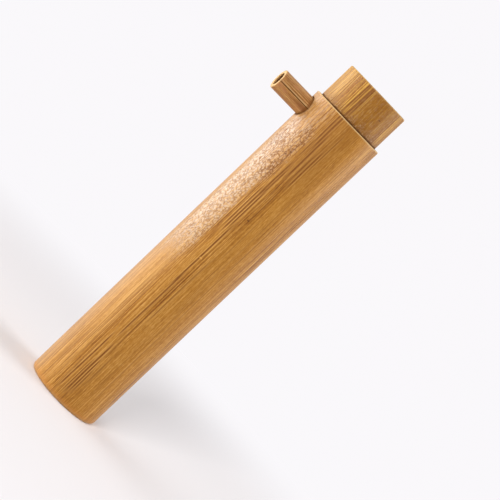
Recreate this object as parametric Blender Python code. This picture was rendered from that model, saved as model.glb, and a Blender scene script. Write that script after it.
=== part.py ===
"""Bamboo water bird whistle, standing upright on its closed end.

The origin is the centre of the flat underside, +Z runs up the wide culm and
the mouthpiece points along -X. Blowing through the mouthpiece drives a small
duct pipe whose open lower end dips into the water in the culm, so that the
pitch warbles. The collar at the top is open for filling and lets the sound out.
"""
import math

import bmesh
import bpy
from mathutils import Matrix, Vector

MM = 0.001

# Culm, the wide tube that holds the water, closed below by its own node
CULM_HEIGHT = 147.5 * MM
CULM_RIM_DIAMETER = 32.0 * MM
CULM_TAPER = 0.2 * MM
CULM_WALL = 1.65 * MM
NODE_THICKNESS = 5.0 * MM
NODE_CROWN = 1.0 * MM
NODE_FILLET = 4.0 * MM
FOOT_ROUNDING = 1.5 * MM
RIM_ROUNDING = 0.35 * MM

# Collar, the thinner ring of bamboo that lines the culm's mouth
COLLAR_WALL = 2.4 * MM
COLLAR_DEPTH = 25.0 * MM
COLLAR_STANDOUT = 15.4 * MM
COLLAR_ROUNDING = 0.5 * MM

# Mouthpiece, a straw-like tube with a thin tenon on its inner end
MOUTHPIECE_BORE = 5.6 * MM
MOUTHPIECE_WALL = 1.5 * MM
MOUTHPIECE_TENON_WALL = 0.7 * MM
MOUTHPIECE_BELOW_RIM = 7.4 * MM
MOUTHPIECE_STANDOUT = 14.0 * MM
MOUTHPIECE_ROUNDING = 0.35 * MM

# Sounding pipe, which stands inside the collar and dips into the water
PIPE_BORE = 11.0 * MM
PIPE_WALL = 1.7 * MM
PIPE_ABOVE_MOUTHPIECE = 9.0 * MM
PIPE_FOOT_CLEARANCE = 12.0 * MM
PIPE_ROUNDING = 0.3 * MM

# Window and sharp lip cut in the sounding pipe
WINDOW_HEIGHT = 5.0 * MM
WINDOW_WIDTH = 6.0 * MM
LIP_RAMP_LENGTH = 9.0 * MM
LIP_EDGE = 0.4 * MM

# Fipple block, the dowel that closes the pipe's head and shapes the air jet
BLOCK_BELOW_MOUTHPIECE = 11.0 * MM
BLOCK_SOCKET_DEPTH = 2.6 * MM
BLOCK_AIR_HOLE = 4.4 * MM
BLOCK_EDGE = 0.25 * MM
WINDWAY_DEPTH = 0.9 * MM
WINDWAY_ABOVE_HOLE = 0.8 * MM

# Clearance left between pieces that are pushed or glued together
FIT = 0.3 * MM

# Facets round each turned piece, and along its rounded edges
CULM_SIDES = 64
PIPE_SIDES = 48
MOUTHPIECE_SIDES = 40
ROUNDING_STEPS = 4
CROWN_STEPS = 5
# How far a cutter runs past the surface that it leaves
CUT_PAST = 3.0 * MM


def culm_radius(height):
    """Outer radius of the gently tapered culm at a height above its foot."""
    return CULM_RIM_DIAMETER / 2 - CULM_TAPER / 2 * (1 - height / CULM_HEIGHT)


# Sizes and places that follow from the values above
COLLAR_FOOT = CULM_HEIGHT - COLLAR_DEPTH
COLLAR_TOP = CULM_HEIGHT + COLLAR_STANDOUT
COLLAR_RADIUS = culm_radius(COLLAR_FOOT) - CULM_WALL - FIT
COLLAR_BORE_RADIUS = COLLAR_RADIUS - COLLAR_WALL

MOUTHPIECE_HEIGHT = CULM_HEIGHT - MOUTHPIECE_BELOW_RIM
MOUTHPIECE_RADIUS = MOUTHPIECE_BORE / 2 + MOUTHPIECE_WALL
TENON_RADIUS = MOUTHPIECE_BORE / 2 + MOUTHPIECE_TENON_WALL

PIPE_BORE_RADIUS = PIPE_BORE / 2
PIPE_RADIUS = PIPE_BORE_RADIUS + PIPE_WALL
PIPE_X = -(COLLAR_BORE_RADIUS - FIT - PIPE_RADIUS)
PIPE_FOOT = NODE_THICKNESS + NODE_CROWN + PIPE_FOOT_CLEARANCE
PIPE_TOP = MOUTHPIECE_HEIGHT + PIPE_ABOVE_MOUTHPIECE

BLOCK_RADIUS = PIPE_BORE_RADIUS - FIT
BLOCK_FOOT = MOUTHPIECE_HEIGHT - BLOCK_BELOW_MOUTHPIECE
SOCKET_FLOOR_X = PIPE_X - BLOCK_RADIUS + BLOCK_SOCKET_DEPTH
WINDWAY_TOP = MOUTHPIECE_HEIGHT + BLOCK_AIR_HOLE / 2 + WINDWAY_ABOVE_HOLE


def clear_scene():
    """Remove every object, so that only the whistle is left."""
    for item in list(bpy.data.objects):
        bpy.data.objects.remove(item, do_unlink=True)


def wood(name, colour, roughness):
    """A Principled material in one plain wood colour."""
    material = bpy.data.materials.new(name)
    material.use_nodes = True
    shader = material.node_tree.nodes["Principled BSDF"]
    shader.inputs["Base Color"].default_value = (*colour, 1.0)
    shader.inputs["Roughness"].default_value = roughness
    shader.inputs["Metallic"].default_value = 0.0
    material.diffuse_color = (*colour, 1.0)
    return material


def add_object(name, bm, material=None):
    """Turn a bmesh into a smooth-shaded object that keeps its crisp edges."""
    bmesh.ops.recalc_face_normals(bm, faces=bm.faces)
    mesh = bpy.data.meshes.new(name)
    bm.to_mesh(mesh)
    bm.free()
    mesh.shade_smooth()
    mesh.set_sharp_from_angle(angle=math.radians(35))
    if material:
        mesh.materials.append(material)
    item = bpy.data.objects.new(name, mesh)
    bpy.context.scene.collection.objects.link(item)
    return item


def rounded(centre, radius, start, end):
    """Points on a quarter round, from angle start to angle end in degrees."""
    points = []
    for step in range(ROUNDING_STEPS + 1):
        angle = math.radians(start + (end - start) * step / ROUNDING_STEPS)
        points.append((centre[0] + radius * math.cos(angle), centre[1] + radius * math.sin(angle)))
    return points


def revolve(name, outline, sides, material, closed):
    """Spin an outline of (radius, height) points about Z into a solid.

    A closed outline is a tube's wall. An open one starts and ends on the axis.
    """
    bm = bmesh.new()
    points = [bm.verts.new((radius, 0.0, height)) for radius, height in outline]
    edges = [bm.edges.new(pair) for pair in zip(points, points[1:])]
    if closed:
        edges.append(bm.edges.new((points[-1], points[0])))
    bmesh.ops.spin(bm, geom=points + edges, cent=(0, 0, 0), axis=(0, 0, 1),
                   angle=2 * math.pi, steps=sides, use_merge=True)
    bmesh.ops.remove_doubles(bm, verts=bm.verts, dist=0.0001 * MM)
    return add_object(name, bm, material)


def tube_wall(inner, outer, low, high, low_rounding, high_rounding):
    """Outline of a straight tube's wall with rounded outer edges."""
    outline = [(inner, high), (inner, low)]
    outline += rounded((outer - low_rounding, low + low_rounding), low_rounding, -90, 0)
    outline += rounded((outer - high_rounding, high - high_rounding), high_rounding, 0, 90)
    return outline


def cut(item, bm, name):
    """Take a cutter's shape out of an object."""
    cutter = add_object(name, bm)
    cutter.hide_render = True
    cutter.display_type = "WIRE"
    cutter.parent = item.parent
    hole = item.modifiers.new(name, "BOOLEAN")
    hole.operation = "DIFFERENCE"
    hole.solver = "EXACT"
    hole.object = cutter


def drill(item, name, radius, from_x, to_x):
    """Drill along X at the mouthpiece's height, between two places on X."""
    bm = bmesh.new()
    place = Matrix.Translation(((from_x + to_x) / 2, 0, MOUTHPIECE_HEIGHT))
    bmesh.ops.create_cone(bm, cap_ends=True, segments=MOUTHPIECE_SIDES, radius1=radius,
                          radius2=radius, depth=abs(to_x - from_x),
                          matrix=place @ Matrix.Rotation(math.radians(-90), 4, "Y"))
    cut(item, bm, name)


def slot(item, name, outline, width):
    """Cut a prism whose (x, z) outline lies in the plane y = 0."""
    bm = bmesh.new()
    near_side = bm.faces.new([bm.verts.new((x, -width / 2, z)) for x, z in outline])
    moved = bmesh.ops.extrude_face_region(bm, geom=[near_side])["geom"]
    corners = [element for element in moved if isinstance(element, bmesh.types.BMVert)]
    bmesh.ops.translate(bm, verts=corners, vec=Vector((0, width, 0)))
    cut(item, bm, name)


def culm_outline():
    """Outline from the centre of the underside, up the outside and down the bore."""
    foot = culm_radius(0)
    rim = culm_radius(CULM_HEIGHT)
    rim_bore = rim - CULM_WALL
    floor_bore = culm_radius(NODE_THICKNESS) - CULM_WALL
    outline = [(0.0, 0.0)]
    outline += rounded((foot - FOOT_ROUNDING, FOOT_ROUNDING), FOOT_ROUNDING, -90, 0)
    outline += rounded((rim - RIM_ROUNDING, CULM_HEIGHT - RIM_ROUNDING), RIM_ROUNDING, 0, 90)
    outline += rounded((rim_bore + RIM_ROUNDING, CULM_HEIGHT - RIM_ROUNDING), RIM_ROUNDING, 90, 180)
    plate_radius = floor_bore - NODE_FILLET
    outline += rounded((plate_radius, NODE_THICKNESS + NODE_FILLET), NODE_FILLET, 0, -90)
    for step in range(1, CROWN_STEPS + 1):
        share = step / CROWN_STEPS
        crown = NODE_CROWN * (1 - math.cos(math.pi * share)) / 2
        outline.append((plate_radius * (1 - share), NODE_THICKNESS + crown))
    return outline


def make_culm(material):
    culm = revolve("culm_body", culm_outline(), CULM_SIDES, material, closed=False)
    drill(culm, "culm_hole", MOUTHPIECE_RADIUS + FIT, -culm_radius(CULM_HEIGHT) - CUT_PAST, 0.0)
    return culm


def make_collar(material):
    outline = tube_wall(COLLAR_BORE_RADIUS, COLLAR_RADIUS, COLLAR_FOOT, COLLAR_TOP,
                        COLLAR_ROUNDING, COLLAR_ROUNDING)
    collar = revolve("collar", outline, CULM_SIDES, material, closed=True)
    drill(collar, "collar_hole", MOUTHPIECE_RADIUS + FIT, -COLLAR_RADIUS - CUT_PAST, 0.0)
    return collar


def make_mouthpiece(material):
    """The outline's height is the distance out from the culm's axis, along -X."""
    bore = MOUTHPIECE_BORE / 2
    tenon_end = -SOCKET_FLOOR_X + FIT
    shoulder = PIPE_RADIUS - PIPE_X + FIT
    tip = culm_radius(MOUTHPIECE_HEIGHT) + MOUTHPIECE_STANDOUT
    edge = MOUTHPIECE_ROUNDING
    outline = [(bore, tenon_end), (TENON_RADIUS, tenon_end), (TENON_RADIUS, shoulder)]
    outline.append((MOUTHPIECE_RADIUS, shoulder))
    outline += rounded((MOUTHPIECE_RADIUS - edge, tip - edge), edge, 0, 90)
    outline += rounded((bore + edge, tip - edge), edge, 90, 180)
    mouthpiece = revolve("mouthpiece", outline, MOUTHPIECE_SIDES, material, closed=True)
    mouthpiece.location = (0.0, 0.0, MOUTHPIECE_HEIGHT)
    mouthpiece.rotation_euler = (0.0, math.radians(-90), 0.0)
    return mouthpiece


def make_sounding_pipe(material):
    outline = tube_wall(PIPE_BORE_RADIUS, PIPE_RADIUS, PIPE_FOOT, PIPE_TOP, PIPE_ROUNDING, PIPE_ROUNDING)
    pipe = revolve("sounding_pipe", outline, PIPE_SIDES, material, closed=True)
    pipe.location = (PIPE_X, 0.0, 0.0)
    drill(pipe, "tenon_hole", TENON_RADIUS + FIT, PIPE_X - PIPE_RADIUS - CUT_PAST, PIPE_X)
    window_foot = BLOCK_FOOT - WINDOW_HEIGHT
    lip_x = PIPE_X + PIPE_BORE_RADIUS + LIP_EDGE
    outside_x = PIPE_X + PIPE_RADIUS
    ramp_run = outside_x - lip_x
    past_x = outside_x + CUT_PAST
    ramp_end = window_foot - LIP_RAMP_LENGTH * (past_x - lip_x) / ramp_run
    slot(pipe, "window_and_lip", [(PIPE_X, BLOCK_FOOT), (past_x, BLOCK_FOOT), (past_x, ramp_end),
                                  (lip_x, window_foot), (PIPE_X, window_foot)], WINDOW_WIDTH)
    return pipe


def make_fipple_block(material):
    outline = [(0.0, BLOCK_FOOT)]
    outline += rounded((BLOCK_RADIUS - BLOCK_EDGE, BLOCK_FOOT + BLOCK_EDGE), BLOCK_EDGE, -90, 0)
    outline += rounded((BLOCK_RADIUS - BLOCK_EDGE, PIPE_TOP - BLOCK_EDGE), BLOCK_EDGE, 0, 90)
    outline.append((0.0, PIPE_TOP))
    block = revolve("fipple_block", outline, PIPE_SIDES, material, closed=False)
    block.location = (PIPE_X, 0.0, 0.0)
    drill(block, "tenon_socket", TENON_RADIUS + FIT, PIPE_X - BLOCK_RADIUS - CUT_PAST, SOCKET_FLOOR_X)
    drill(block, "air_hole", BLOCK_AIR_HOLE / 2, SOCKET_FLOOR_X - FIT, PIPE_X + BLOCK_RADIUS + CUT_PAST)
    flat_x = PIPE_X + BLOCK_RADIUS - WINDWAY_DEPTH
    past_x = PIPE_X + BLOCK_RADIUS + CUT_PAST
    slot(block, "windway", [(flat_x, BLOCK_FOOT - CUT_PAST), (past_x, BLOCK_FOOT - CUT_PAST),
                            (past_x, WINDWAY_TOP), (flat_x, WINDWAY_TOP)], PIPE_BORE)
    return block


def main():
    clear_scene()
    whistle = bpy.data.objects.new("bird_whistle", None)
    bpy.context.scene.collection.objects.link(whistle)
    pieces = [
        make_culm(wood("culm_bamboo", (0.57, 0.30, 0.10), 0.42)),
        make_collar(wood("collar_bamboo", (0.53, 0.27, 0.085), 0.48)),
        make_mouthpiece(wood("mouthpiece_bamboo", (0.60, 0.34, 0.14), 0.45)),
        make_sounding_pipe(wood("pipe_bamboo", (0.62, 0.40, 0.18), 0.5)),
        make_fipple_block(wood("block_wood", (0.66, 0.48, 0.27), 0.6)),
    ]
    for piece in pieces:
        piece.parent = whistle


main()
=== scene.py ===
"""Bamboo water bird whistle: the finish of its pieces, a plain studio and the camera.

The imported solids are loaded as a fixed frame, and every piece made here stands
where its solid does. The whistle stands upright on z = 0 with its mouthpiece
along -X. The camera is rolled, because the whistle leans in the photograph.
"""

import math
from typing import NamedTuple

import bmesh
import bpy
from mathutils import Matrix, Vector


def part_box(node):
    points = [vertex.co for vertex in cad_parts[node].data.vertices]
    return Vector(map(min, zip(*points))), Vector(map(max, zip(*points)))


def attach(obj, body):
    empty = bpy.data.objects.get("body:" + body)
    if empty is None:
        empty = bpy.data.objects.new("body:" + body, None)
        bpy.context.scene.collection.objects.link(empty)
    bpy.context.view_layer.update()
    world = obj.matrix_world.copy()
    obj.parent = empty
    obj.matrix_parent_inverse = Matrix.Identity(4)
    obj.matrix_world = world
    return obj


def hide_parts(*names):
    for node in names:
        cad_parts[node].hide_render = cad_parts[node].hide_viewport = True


bl_info = {
    "name": "Bamboo bird whistle",
    "version": (1, 0, 0),
    "blender": (4, 5, 0),
    "location": "3D View > Sidebar > Bird whistle",
    "description": "Makes a bamboo water bird whistle and a plain studio round it",
    "category": "Add Mesh",
}

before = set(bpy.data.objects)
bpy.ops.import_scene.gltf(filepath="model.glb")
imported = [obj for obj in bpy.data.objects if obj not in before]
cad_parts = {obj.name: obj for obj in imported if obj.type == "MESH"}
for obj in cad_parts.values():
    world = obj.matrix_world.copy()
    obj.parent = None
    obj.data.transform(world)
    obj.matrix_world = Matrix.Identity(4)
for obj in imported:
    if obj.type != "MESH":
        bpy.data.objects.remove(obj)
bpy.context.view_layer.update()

MM = 0.001
BODY = "root"

CULM_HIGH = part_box("culm_body")[1]
COLLAR_LOW, COLLAR_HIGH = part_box("collar")
MOUTHPIECE_LOW, MOUTHPIECE_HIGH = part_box("mouthpiece")
PIPE_LOW, PIPE_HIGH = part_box("sounding_pipe")
MOUTHPIECE_HEIGHT = (MOUTHPIECE_LOW.z + MOUTHPIECE_HIGH.z) / 2
MOUTHPIECE_RADIUS = MOUTHPIECE_HIGH.y

# The side of the culm that the camera faces, as an angle about +Z from +X
CAMERA_SIDE = -105.0
FACING_TURN = math.radians(-CAMERA_SIDE)

# Facets round each piece, and the longest facet along it
CULM_SIDES = 288
COLLAR_SIDES = 256
MOUTHPIECE_SIDES = 144
HOLE_SIDES = 96
LONGEST_FACET = 1.0 * MM
BORE_FACET = 6.0 * MM
END_FACET = 0.3 * MM
ROUNDING_STEPS = 5
PLATE_STEPS = 8
SHARP_ANGLE = math.radians(38)
DRILL_OVERSHOOT = 3.0 * MM
SAWN_DEPTH = 0.35 * MM

# The ring of a sawn end that carries fibre tips, and the tips
TIP_RINGS = 10
TIP_SIDES = 96
TIP_DENSITY = 3.0e6
TIP_RADIUS = 0.14 * MM
TIP_HEIGHT = 0.035 * MM

# The first seeds of the noises in the finishes that only one piece has
CULM_SEED, COLLAR_SEED, BLOCK_SEED, TIP_SEED, MOUTHPIECE_SEED = 31, 41, 51, 61, 71

# How wide a mark's line and its pale flanks are, in half widths of the mark
LINE_CORE, LINE_EDGE = 0.8, 2.0
FLANK_CORE, FLANK_EDGE = 2.2, 5.0
LONGEST_FADE = 3.5

# The floor's disc in metres, and where it fades into the background
FLOOR_SIDES = 96
FLOOR_RADIUS = 2.5
FLOOR_FADE = (0.12, 0.30)


def length(name, description, millimetres):
    """A length setting, given in millimetres and kept in metres."""
    return bpy.props.FloatProperty(name=name, description=description, default=millimetres * MM,
                                   min=0.0, unit="LENGTH", precision=5)


def degrees(name, description, value):
    """An angle setting, given in degrees and kept in radians."""
    return bpy.props.FloatProperty(name=name, description=description, default=math.radians(value),
                                   subtype="ANGLE")


def power(name, description, watts):
    """The power of a light."""
    return bpy.props.FloatProperty(name=name, description=description, default=watts, min=0.0,
                                   unit="POWER")


def colour(name, description, red, green, blue):
    """A linear colour setting."""
    return bpy.props.FloatVectorProperty(name=name, description=description, size=3, min=0.0, max=1.0,
                                         default=(red, green, blue), subtype="COLOR")


class WhistleSizes(bpy.types.PropertyGroup):
    """Sizes that the frame's boxes don't give."""
    culm_wall: length("Culm wall", "Thickness of the wide tube's wall", 1.65)
    culm_taper: length("Culm taper", "How much narrower the foot is than the rim", 0.2)
    node_thickness: length("Node plate", "Thickness of the plate that closes the foot", 5.0)
    node_fillet: length("Node fillet", "Rounding between the plate and the bore", 4.0)
    node_crown: length("Node crown", "How far the plate rises in its middle", 1.0)
    foot_rounding: length("Foot rounding", "Rounding of the foot's outer edge", 1.5)
    rim_rounding: length("Rim rounding", "Rounding of the culm's rim", 0.35)
    collar_wall: length("Collar wall", "Thickness of the collar's wall", 2.4)
    collar_rounding: length("Collar rounding", "Rounding of the collar's ends", 0.5)
    mouthpiece_wall: length("Mouthpiece wall", "Thickness of the mouthpiece's wall", 1.5)
    tenon_wall: length("Tenon wall", "Thickness of the tenon's wall", 0.7)
    mouthpiece_rounding: length("Mouthpiece rounding", "Rounding of the mouthpiece's tip", 0.35)
    fit: length("Fit", "Clearance between pieces", 0.3)
    ovality: length("Ovality", "How far the culm is out of round", 0.06)
    unevenness: length("Unevenness", "Height of the flats left by the scraper", 0.10)
    strand_depth: length("Strand depth", "Depth of the flutes between strands of fibre", 0.018)


class WhistleColours(bpy.types.PropertyGroup):
    """Colours of the bamboo and wood."""
    culm_pale: colour("Culm pale", "Lightest strands of the culm", 0.59, 0.305, 0.070)
    culm_middle: colour("Culm middle", "Main tone of the culm", 0.405, 0.170, 0.017)
    culm_dark: colour("Culm dark", "Darkest strands of the culm", 0.22, 0.073, 0.005)
    collar_pale: colour("Collar pale", "Lightest strands of the collar", 0.57, 0.315, 0.055)
    collar_middle: colour("Collar middle", "Main tone of the collar", 0.36, 0.145, 0.009)
    collar_dark: colour("Collar dark", "Darkest strands of the collar", 0.185, 0.062, 0.003)
    mouthpiece_pale: colour("Mouthpiece pale", "Lightest strands of the mouthpiece", 0.62, 0.36, 0.130)
    mouthpiece_middle: colour("Mouthpiece middle", "Main tone of the mouthpiece", 0.43, 0.190, 0.046)
    mouthpiece_dark: colour("Mouthpiece dark", "Darkest strands of the mouthpiece", 0.22, 0.075, 0.014)
    pipe_pale: colour("Pipe pale", "Lightest strands of the inner pipe", 0.76, 0.56, 0.30)
    pipe_middle: colour("Pipe middle", "Main tone of the inner pipe", 0.64, 0.43, 0.19)
    pipe_dark: colour("Pipe dark", "Darkest strands of the inner pipe", 0.46, 0.27, 0.10)
    vein: colour("Vein", "Thin dark fibre lines", 0.185, 0.056, 0.002)
    blush: colour("Blush", "Reddish places on the mouthpiece", 0.50, 0.215, 0.090)
    # Dull dark brown of the crack, the bore and the joints; in the collar's joint it is partly painted
    # shade
    dirt_and_shade: colour("Dirt", "Damp brown in the bore, the crack and the joints", 0.120, 0.045, 0.012)
    foot_stain: colour("Foot stain", "Warm stain round the foot", 0.50, 0.20, 0.035)
    skin: colour("Skin left on", "Pale waxy skin that the scraper left", 0.53, 0.385, 0.245)
    # Also the painted highlight along the mouthpiece's crack
    end_grain_and_highlight: colour("End grain", "Pith of a sawn end", 0.70, 0.47, 0.21)
    end_fibre: colour("End fibre", "Fibre bundles of a sawn end", 0.36, 0.19, 0.07)
    block: colour("Block", "Pale dowel wood of the fipple block", 0.68, 0.50, 0.29)
    block_ring: colour("Block ring", "Late wood in the fipple block", 0.50, 0.32, 0.15)


class StudioSettings(bpy.types.PropertyGroup):
    """The camera, the lights and the floor."""
    azimuth: degrees("Azimuth", "Camera's angle round the whistle", -15.0)
    distance: length("Distance", "From the camera to the whistle's axis", 770.0)
    above_rim: length("Above the rim", "Camera's height over the culm's rim", 8.0)
    pitch: degrees("Pitch", "How far the camera looks down", 4.975)
    yaw: degrees("Yaw", "How far the camera looks past the whistle", 0.69)
    roll: degrees("Roll", "Turn that makes the whistle lean", 46.39)
    focal_length: bpy.props.FloatProperty(name="Focal length", description="Lens in millimetres",
                                          default=150.0, subtype="DISTANCE_CAMERA")
    key_power: power("Key light", "Power of the large soft light", 8.0)
    fill_power: power("Fill light", "Power of the front light", 7.4)
    rim_power: power("Rim light", "Power of the right hand light", 5.0)
    top_power: power("Top light", "Power of the light overhead", 2.6)
    sky: bpy.props.FloatProperty(name="Sky", description="Strength of the even light from all sides",
                                 default=0.22, min=0.0)
    background: colour("Background", "White that the camera sees", 0.955, 0.938, 0.962)
    floor: colour("Floor", "Pale floor under the whistle", 0.90, 0.865, 0.875)


def operator_pair(operation):
    """An operator with the signal on its left, and its reflected form."""
    def forward(self, other):
        return self.nodes.math(operation, self, other)

    def reflected(self, other):
        return self.nodes.math(operation, other, self)
    return forward, reflected


class Signal:
    """One output socket, with Python's arithmetic for numbers that vary."""

    def __init__(self, nodes, socket):
        self.nodes = nodes
        self.socket = socket

    __add__, __radd__ = operator_pair("ADD")
    __sub__, __rsub__ = operator_pair("SUBTRACT")
    __mul__, __rmul__ = operator_pair("MULTIPLY")
    __truediv__, __rtruediv__ = operator_pair("DIVIDE")


def opaque(tint):
    """A colour as a socket takes it. One that varies stays a signal."""
    return tint if isinstance(tint, Signal) else (*tint, 1.0)


def darker(tint, factor):
    return tuple(factor * value for value in tint)


class Nodes:
    """A node tree that is built by short expressions."""

    def __init__(self, tree):
        self.tree = tree

    def add(self, kind, settings=None, sockets=None, output=0):
        """Add a node, set its settings and then its sockets, and return one output."""
        node = self.tree.nodes.new(kind)
        for key, value in (settings or {}).items():
            if key == "stops":
                self.set_stops(node.color_ramp, value)
            else:
                setattr(node, key, value)
        self.feed(node, sockets or {})
        return Signal(self, node.outputs[output]) if node.outputs else node

    def feed(self, node, sockets):
        """Link or set the sockets of a node."""
        for key, value in sockets.items():
            if isinstance(value, Signal):
                self.tree.links.new(value.socket, node.inputs[key])
            else:
                node.inputs[key].default_value = value

    def outputs(self, kind, sockets=None):
        """Add a node and return all its outputs by their names."""
        node = self.add(kind, {}, sockets).socket.node
        return {socket.name: Signal(self, socket) for socket in node.outputs}

    def set_stops(self, ramp, stops):
        """Give a colour ramp its stops, as pairs of a place and a colour."""
        while len(ramp.elements) < len(stops):
            ramp.elements.new(1.0)
        for element, (place, value) in zip(ramp.elements, stops):
            element.position = place
            element.color = opaque(value)

    def math(self, operation, first, second=0.0):
        return self.add("ShaderNodeMath", {"operation": operation}, {0: first, 1: second})

    def vector(self, operation, first, second):
        return self.add("ShaderNodeVectorMath", {"operation": operation}, {0: first, 1: second})

    def distance(self, vector):
        return self.add("ShaderNodeVectorMath", {"operation": "LENGTH"}, {0: vector}, output="Value")

    def smooth(self, value, low, high):
        """0 below low, 1 above high and a smooth step between, or falling where low is above high.

        The step stays within 0 and 1 by itself. Its clamp is off, because with it
        the culm's many marks are more than the renderer holds.
        """
        return self.add("ShaderNodeMapRange", {"interpolation_type": "SMOOTHSTEP", "clamp": False},
                        {"Value": value, "From Min": low, "From Max": high})

    def band(self, value, low, high, soft):
        """1 between low and high, with soft ends."""
        past_low = self.smooth(value, low - soft, low + soft)
        return past_low * (1 - self.smooth(value, high - soft, high + soft))

    def larger(self, first, second):
        return self.math("MAXIMUM", first, second)

    def mix(self, factor, first, second):
        """A colour that goes from the first to the second as the factor goes from 0 to 1."""
        return self.add("ShaderNodeMix", {"data_type": "RGBA"},
                        {0: factor, 6: opaque(first), 7: opaque(second)}, output=2)

    def mapped(self, location=(0.0, 0.0, 0.0), rotation=(0.0, 0.0, 0.0), scale=(1 / MM, 1 / MM, 1 / MM)):
        """The place on the piece in millimetres, turned and then moved."""
        position = self.add("ShaderNodeTexCoord", output="Object")
        return self.add("ShaderNodeMapping", {"vector_type": "POINT"},
                        {"Vector": position, "Location": location, "Rotation": rotation, "Scale": scale})

    def mix_shaders(self, factor, first, second, output):
        """Send a mix of two shaders to the tree's output node."""
        mixed = self.add("ShaderNodeMixShader", {}, {0: factor, 1: first, 2: second})
        self.feed(self.tree.nodes[output], {"Surface": mixed})

    def sees_background(self):
        """1 for rays that show the background: the camera's, and those of gloss and glass."""
        rays = self.outputs("ShaderNodeLightPath")
        straight = self.larger(rays["Is Camera Ray"], rays["Is Transmission Ray"])
        return self.larger(straight, rays["Is Glossy Ray"])


class Mark(NamedTuple):
    """A mark on a tube, in millimetres round from the camera's side and up.

    lean is how far it goes round with each millimetre up.
    """
    around: float
    low: float
    high: float
    half_width: float
    strength: float
    lean: float = 0.0


# Dark fibre lines that stand out on the culm
CULM_VEINS = (
    Mark(-3.4, 130, 157, 0.24, 1.0),
    Mark(-2.2, 128, 157, 0.24, 1.0),
    Mark(-6.2, 139, 148, 0.19, 0.75),
    Mark(-3.7, 124, 137, 0.2, 0.85),
    Mark(-1.1, 114, 142, 0.25, 1.0),
    Mark(0.6, 115, 134, 0.22, 0.9),
    Mark(1.9, 112, 137, 0.24, 1.0),
    Mark(2.9, 122, 146, 0.18, 0.7),
    Mark(-3.5, 104, 127, 0.22, 1.0),
    Mark(-2.6, 103, 124, 0.2, 0.95),
    Mark(-4.3, 86, 113, 0.19, 0.95),
    Mark(-3.3, 84, 115, 0.22, 1.0),
    Mark(-2.3, 87, 112, 0.21, 1.0),
    Mark(-1.6, 57, 94, 0.22, 1.0),
    Mark(-1.6, 30, 70, 0.22, 0.95, 0.01),
    Mark(2.3, 42, 80, 0.18, 0.7),
    Mark(6.2, 66, 80, 0.16, 0.5),
    Mark(-3.4, 1, 36, 0.22, 1.0),
    Mark(-0.3, 1, 33, 0.24, 1.0),
    Mark(-1.3, 1, 24, 0.17, 0.95),
    Mark(0.7, 2, 26, 0.2, 1.0),
    Mark(1.6, 3, 21, 0.17, 0.9),
    Mark(3.2, 9, 28, 0.2, 0.65),
    Mark(4.3, 76, 104, 0.18, 0.4),
    Mark(10.4, 8, 120, 0.2, 0.45),
    Mark(7.4, 60, 118, 0.16, 0.35),
    Mark(-9.5, 20, 62, 0.18, 0.45),
    Mark(-12.5, 8, 48, 0.16, 0.4),
    Mark(-7.0, 4, 60, 0.16, 0.35),
)
# Small dark dots on the culm and one pale nick
CULM_DOTS = (
    Mark(1.0, 96.3, 97.1, 0.32, 0.85),
    Mark(-15.2, 125.8, 126.6, 0.3, 0.7),
    Mark(-15.2, 122.8, 123.6, 0.28, 0.6),
    Mark(-6.6, 124.7, 125.5, 0.3, 0.8),
    Mark(-7.6, 122.8, 123.5, 0.26, 0.6),
)
CULM_NICKS = (Mark(-1.1, 74.3, 75.3, 0.35, 0.9),)
COLLAR_VEINS = (
    Mark(-11.7, 147, 173, 0.2, 0.95, 0.03),
    Mark(-9.9, 145, 173, 0.2, 0.95, -0.04),
    Mark(-7.6, 149, 165, 0.15, 0.6),
    Mark(-4.6, 145, 173, 0.26, 1.0, 0.02),
    Mark(-3.6, 148, 173, 0.19, 0.9),
    Mark(-2.7, 143, 173, 0.3, 1.0, 0.02),
    Mark(-1.6, 145, 173, 0.27, 1.0),
    Mark(-14.2, 147.4, 154.4, 0.28, 1.0, 0.1),
    Mark(-12.9, 152, 171, 0.16, 0.7),
    Mark(-10.8, 146, 152.8, 0.22, 1.0),
    Mark(-6.9, 146.4, 155, 0.18, 0.8),
)
COLLAR_DOTS = (
    Mark(8.0, 155.6, 156.4, 0.32, 0.75),
    Mark(2.3, 148, 148.6, 0.3, 0.6),
)
# Where the scraper left skin on the culm, and a darker strip: round it, then up it
UPPER_SKIN = ((-20.0, -5.6), (110.0, 136.0))
LOWER_SKIN = ((-19.0, -7.0), (72.0, 120.0))
DARK_STRIP = (-6.0, 7.0)
# Lines along the mouthpiece, measured out from the culm's axis
MOUTHPIECE_VEINS = (
    Mark(-3.1, 16, 27, 0.1, 0.45),
    Mark(-2.2, 19, 30, 0.09, 0.4),
    Mark(2.1, 15, 30, 0.1, 0.5),
    Mark(2.9, 15, 31, 0.12, 0.55),
)
# One long crack, as wide as a fibre line
MOUTHPIECE_CRACK = (Mark(0.05, 10, 33, 0.125, 1.0),)


class Bamboo(NamedTuple):
    """How one piece of bamboo is coloured and marked. Its name picks its three tones.

    calm is the strip round the tube with the fewest fibres, in millimetres, and
    wander is how far its veins stray.
    """
    name: str
    radius: float
    seed: float
    turn: tuple = (0.0, 0.0, FACING_TURN)
    centre: tuple = (0.0, 0.0, 0.0)
    veins: tuple = ()
    dots: tuple = ()
    grain: float = 1.0
    roughness: float = 0.42
    calm: tuple = (2.0, 14.0)
    wander: float = 0.8


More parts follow.
